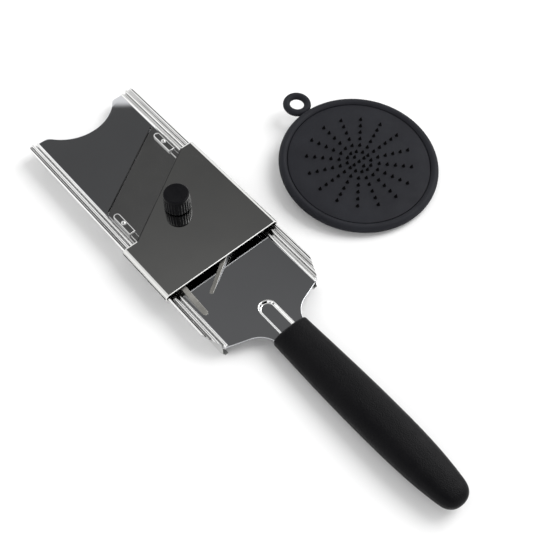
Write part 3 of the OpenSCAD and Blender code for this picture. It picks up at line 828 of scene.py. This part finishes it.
def handle_grip():
    """Crowned grip, with a slot in its front face for the neck."""
    around, stations = 96, 120
    bm = bmesh.new()
    rings = []
    neck_w, neck_h = 10.6, 0.75

    def ring(x, w, h, z, squareness):
        rings.append([bm.verts.new(at(x, y, z + up)) for y, up in oval(w, h, squareness, around)])

    w, h, z = grip_size(0)
    ring(GRIP_X + 4, neck_w - 0.3, neck_h, PLATE_TOP - 0.5, 8)
    ring(GRIP_X + 0.25, neck_w, neck_h, PLATE_TOP - 0.5, 8)
    ring(GRIP_X, neck_w + 0.25, neck_h + 0.25, PLATE_TOP - 0.5, 7)
    for k in (0.35, 0.7):
        ring(GRIP_X, neck_w + (w - neck_w) * k, neck_h + (h - neck_h) * k, z, 4 - 1.4 * k)
    for i in range(stations):
        s = 0.5 - 0.5 * math.cos(math.pi * i / stations)
        w, h, z = grip_size(s)
        ring(GRIP_X + s * GRIP_LEN, w, h, z, GRIP_SQUARENESS)
    tip = bm.verts.new(at(GRIP_X + GRIP_LEN, 0, grip_size(1)[2]))
    skin(bm, rings)
    for j in range(around):
        bm.faces.new((rings[-1][j], rings[-1][(j + 1) % around], tip))
    bm.faces.new(rings[0])
    obj = finish_mesh("handle_grip_finished", bm, "body", GRIP, sharp=60, weighted=False)
    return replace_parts(obj, "handle_grip")


# ---------------------------------------------------------------- knob

KNOB_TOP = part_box("knob_cap")[1].z / MM
KNOB_BASE = KNOB_LOW.z / MM
KNOB_R = (KNOB_HIGH.x - KNOB_LOW.x) / MM / 2
CORE_R = (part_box("knob_cap")[1].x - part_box("knob_cap")[0].x) / MM / 2
RIBS = 28


def knob_body():
    """Ribbed skirt: rounded ribs that lean in a little towards the top, round a smooth core."""
    per_rib = 10
    segments = RIBS * per_rib
    top = KNOB_HIGH.z / MM
    valley = CORE_R - 0.1
    bore = 3.2
    bm = bmesh.new()
    levels = [(KNOB_BASE, bore, 0), (KNOB_BASE, valley - 0.3, 0), (KNOB_BASE, valley - 0.05, 0.55),
              (KNOB_BASE + 0.35, valley, 0.95), (KNOB_BASE + 1.2, valley, 1), (top - 3, valley, 0.62),
              (top - 1.4, valley, 0.45), (top - 0.9, valley, 0.1), (top - 0.6, valley, 0), (top, valley, 0),
              (top, bore, 0)]
    rings = []
    for z, r, rib in levels:
        verts = []
        for i in range(segments):
            a = 2 * math.pi * i / segments
            wave = 0.5 - 0.5 * math.cos(2 * math.pi * (i / per_rib))
            radius = r + (KNOB_R - CORE_R + 0.1) * rib * wave**0.7
            verts.append(bm.verts.new((radius * MM * math.cos(a), radius * MM * math.sin(a), z * MM)))
        rings.append(verts)
    skin(bm, rings)
    for v in bm.verts:
        v.co += Vector((KNOB_MIDDLE.x, KNOB_MIDDLE.y, 0))
    obj = finish_mesh("knob_skirt", bm, "knob", KNOB, sharp=70, weighted=False)
    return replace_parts(obj, "knob_body")


def knob_cap():
    """Smooth cap with a rounded edge and a barely hollow top."""
    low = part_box("knob_cap")[0].z / MM
    edge = 0.95
    profile = [(0, low), (CORE_R - 0.2, low), (CORE_R, low + 0.15)]
    profile += arc(CORE_R - edge, KNOB_TOP - edge, edge, 0, 90, 8)
    profile += [(CORE_R * 0.8, KNOB_TOP - 0.03), (CORE_R * 0.5, KNOB_TOP - 0.12), (0, KNOB_TOP - 0.16)]
    bm = lathe(profile, 96)
    for v in bm.verts:
        v.co += Vector((KNOB_MIDDLE.x, KNOB_MIDDLE.y, 0))
    obj = finish_mesh("knob_top", bm, "knob", KNOB, sharp=70, weighted=False)
    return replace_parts(obj, "knob_cap")


# ---------------------------------------------------------------- food holder

HOLDER_R = 51.5
HOLDER_TILT = math.radians(5.4)
RIM_R = 2.9
RIM_LOW = -6.5
FLOOR = -2.5
SPIKE_DISC = 1.2
SPIKE_DISC_R = 45.8
SPIKE_RAYS = 16
SPIKES_IN_RAY = 5
RAY_OUTER_R = 33.7
RAY_STEP = 5.2
INNER_RINGS = ((0, 1), (4.3, 4), (7.8, 12))
RING_AT = -60.0
RING_Z = -3.0
RING_R = 7
RING_WIRE_R = 2.35


def holder_frame():
    """Places a shape made round the holder's own axis."""
    rim_foot = HOLDER_R - 2.2
    height = -RIM_LOW * math.cos(HOLDER_TILT) + rim_foot * math.sin(HOLDER_TILT)
    middle = sum(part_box("guard_dish"), Vector()) / 2
    disc = sum(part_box("spike_plate"), Vector()) / 2
    lean = (FLOOR + SPIKE_DISC / 2) * math.sin(HOLDER_TILT) * MM
    return (Matrix.Translation((disc.x - lean, middle.y, height * MM))
            @ Matrix.Rotation(HOLDER_TILT, 4, "Y"))


def guard_dish(where):
    """Dish with a thick rolled rim, a groove inside it and a hanging ring."""
    rim_c = HOLDER_R - RIM_R
    under = FLOOR - 2.5
    profile = [(0, under), (30, under), (44.5, under), (46.2, under - 0.6)]
    profile += arc(47.9, RIM_LOW + 0.7, 0.7, 215, 270, 3) + arc(48.7, RIM_LOW + 0.7, 0.7, 270, 330, 4)
    profile += arc(rim_c, -RIM_R, RIM_R, -25, 138, 26)
    profile += [(46.25, -1.15), (46.2, -1.4), (46.2, FLOOR), (0, FLOOR)]
    dish = lathe(profile, 160)
    ring = lathe([(RING_R + RING_WIRE_R * math.cos(a), RING_WIRE_R * math.sin(a))
                  for a in (math.radians(15 * i) for i in range(24))], 64, closed=True)
    for v in ring.verts:
        v.co += Vector((RING_AT, 0, RING_Z)) * MM
    bm = join(dish, ring, ring_neck())
    bm.transform(where)
    obj = finish_mesh("holder_dish", bm, "guard", HOLDER, sharp=50, weighted=False)
    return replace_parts(obj, "guard_dish")


def ring_neck():
    """Short web that joins the ring to the rim, flaring at both ends."""
    bm = bmesh.new()
    rings = []
    for i in range(9):
        t = i / 8
        x = RING_AT + 6.3 + t * 5.2
        w = 2.1 + 2.6 * (2 * abs(t - 0.45)) ** 2
        h = 1.6 + 0.4 * (2 * abs(t - 0.5)) ** 2
        rings.append([bm.verts.new(Vector((x, y, RING_Z + z)) * MM) for y, z in oval(w, h, 2.4, 20)])
    skin(bm, rings)
    bm.faces.new(rings[0])
    bm.faces.new(rings[-1])
    return bm


def spike_plate(where):
    """Disc in the dish, with its small pointed spikes."""
    top = FLOOR + SPIKE_DISC
    edge = SPIKE_DISC_R
    profile = [(0, FLOOR), (edge, FLOOR), (edge, top - 0.25)]
    profile += arc(edge - 0.25, top - 0.25, 0.25, 0, 90, 3, 1) + [(36, top), (0, top)]
    parts = [lathe(profile, 160)]
    places = [(RAY_OUTER_R - RAY_STEP * j, 360 / SPIKE_RAYS * i)
              for i in range(SPIKE_RAYS) for j in range(SPIKES_IN_RAY)]
    places += [(r, 360 / n * i) for r, n in INNER_RINGS for i in range(n)]
    for r, turn in places:
        spike = lathe([(1.25, top - 0.05), (1.02, top + 0.1), (0.8, top + 0.7), (0.3, top + 2.4),
                       (0.12, top + 2.7), (0, top + 2.75)], 14)
        a = math.radians(turn)
        for v in spike.verts:
            v.co += Vector((r * math.cos(a), r * math.sin(a), 0)) * MM
        parts.append(spike)
    bm = join(*parts)
    bm.transform(where)
    obj = finish_mesh("holder_spikes", bm, "guard", HOLDER, sharp=50, weighted=False)
    back = where.inverted()
    # painted shade: the spikes take the darker copy of the holder's plastic
    paint(obj, (SPIKES,), lambda face: 1 if (back @ face.center).z / MM > top + 0.02 else 0)
    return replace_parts(obj, "spike_plate")


# ---------------------------------------------------------------- stage

def floor():
    """Plain white worktop."""
    bm = bmesh.new()
    bmesh.ops.create_grid(bm, x_segments=1, y_segments=1, size=4.0)
    mesh = bpy.data.meshes.new("worktop")
    bm.to_mesh(mesh)
    bm.free()
    material, tree, shader = new_material("worktop_white", Roughness=0.7)
    cloud = spread(tree, noise(tree, coords(tree), 3, 3), 0, 1)
    colour = blend_colours(tree, cloud, (0.9, 0.9, 0.9), (0.88, 0.88, 0.88))
    tree.links.new(colour, shader.inputs["Base Color"])
    mesh.materials.append(material)
    obj = bpy.data.objects.new("worktop", mesh)
    bpy.context.scene.collection.objects.link(obj)


# the dark card: its direction and height, and how far it spreads to each side, in degrees
CARD_AZIMUTH = 141
CARD_LOW = 45.8
CARD_HIGH = 84.0
CARD_SPREAD = 42
CARD_FOOT = (0.108, 0.108, 0.108)
CARD_BODY = (0.165, 0.165, 0.165)
CARD_CROWN = (0.55, 0.54, 0.5)
TENT_LOW = (1.4, 1.4, 1.4)
TENT_HIGH = (1.15, 1.15, 1.15)
# the dimmer side of the tent, opposite the card
TENT_DIM = (0.3, 0.3, 0.305)
DIM_START = 0.2
DIM_FULL = -0.6


def world():
    """White studio tent with one dark card hung where the flat steel mirrors it."""
    scene_world = bpy.data.worlds.new("studio")
    bpy.context.scene.world = scene_world
    scene_world.use_nodes = True
    tree = scene_world.node_tree
    background = tree.nodes["Background"]
    direction = add(tree, "TexCoord").outputs["Generated"]
    height = add(tree, "SeparateXYZ", Vector=direction).outputs["Z"]
    flat = add(tree, "VectorMath", {"operation": "MULTIPLY"}, i0=direction, i1=(1, 1, 0)).outputs[0]
    level = add(tree, "VectorMath", {"operation": "NORMALIZE"}, i0=flat).outputs[0]
    a = math.radians(CARD_AZIMUTH)
    facing = add(tree, "VectorMath", {"operation": "DOT_PRODUCT"}, i0=level,
                 i1=(math.cos(a), math.sin(a), 0)).outputs["Value"]

    def step(value, start, end):
        smooth = {"interpolation_type": "SMOOTHSTEP"}
        return add(tree, "MapRange", smooth, i0=value, i1=start, i2=end).outputs[0]

    def times(x, y):
        return add(tree, "Math", {"operation": "MULTIPLY"}, i0=x, i1=y).outputs[0]

    def sine(angle):
        return math.sin(math.radians(angle))

    above = step(height, sine(CARD_LOW), sine(CARD_LOW + 0.6))
    below = step(height, sine(CARD_HIGH + 3), sine(CARD_HIGH))
    beside = step(facing, math.cos(math.radians(CARD_SPREAD + 4)), math.cos(math.radians(CARD_SPREAD)))
    card = times(times(above, below), beside)
    body = blend_colours(tree, step(height, sine(50), sine(62)), CARD_FOOT, CARD_BODY)
    card_colour = blend_colours(tree, step(height, sine(62), sine(80)), body, CARD_CROWN)
    tent = blend_colours(tree, step(height, sine(40), sine(46)), TENT_LOW, TENT_HIGH)
    dim = times(step(facing, DIM_START, DIM_FULL), step(height, sine(22), sine(60)))
    tent = blend_colours(tree, dim, tent, TENT_DIM)
    tree.links.new(blend_colours(tree, card, tent, card_colour), background.inputs["Color"])


def softbox(name, azimuth, elevation, distance, size, power):
    """Square light aimed at the object; angles in degrees, lengths in metres."""
    light = bpy.data.lights.new(name, "AREA")
    light.shape = "SQUARE"
    light.size = size
    light.energy = power
    obj = bpy.data.objects.new(name, light)
    a, e = math.radians(azimuth), math.radians(elevation)
    away = Vector((math.cos(a) * math.cos(e), math.sin(a) * math.cos(e), math.sin(e)))
    obj.location = away * distance
    obj.rotation_euler = away.to_track_quat("Z", "Y").to_euler()
    bpy.context.scene.collection.objects.link(obj)
    return obj


CAMERA_PLACE = Vector((0.2163, -0.2315, 0.4567))
CAMERA_TARGET = Vector((-0.0019, -0.0445, 0.009))
CAMERA_LENS = 60.79


def camera():
    """The photograph's viewpoint."""
    data = bpy.data.cameras.new("camera")
    obj = bpy.data.objects.new("camera", data)
    obj.location = CAMERA_PLACE
    obj.rotation_euler = (CAMERA_PLACE - CAMERA_TARGET).to_track_quat("Z", "Y").to_euler()
    data.sensor_fit = "HORIZONTAL"
    data.sensor_width = 36
    data.lens = CAMERA_LENS
    data.clip_start = 0.01
    bpy.context.scene.collection.objects.link(obj)
    bpy.context.scene.camera = obj


# ---------------------------------------------------------------- the object

base_plate()
slider_plate()
blade()
hanger(-1, "left_hanger")
hanger(1, "right_hanger")
hanger_rivets()
for node in ("clamp_screw", "spring_washer", "clamp_plate", "spacer_sleeve", "knob_washer", "tang_pins",
             "grip_screw"):
    refined(node, HARDWARE, 0.1)
refined("knob_insert", BRASS, 0.1)
refined("handle_core", CORE, 0.2)
refined("guard_grip", HOLDER, 0.2)
rail(-1)
rail(1)
handle_grip()
knob_body()
knob_cap()
holder = holder_frame()
guard_dish(holder)
spike_plate(holder)

camera()
floor()
world()
softbox("key", 80, 50, 1.4, 0.9, 12)
bpy.context.scene.view_settings.view_transform = "Standard"
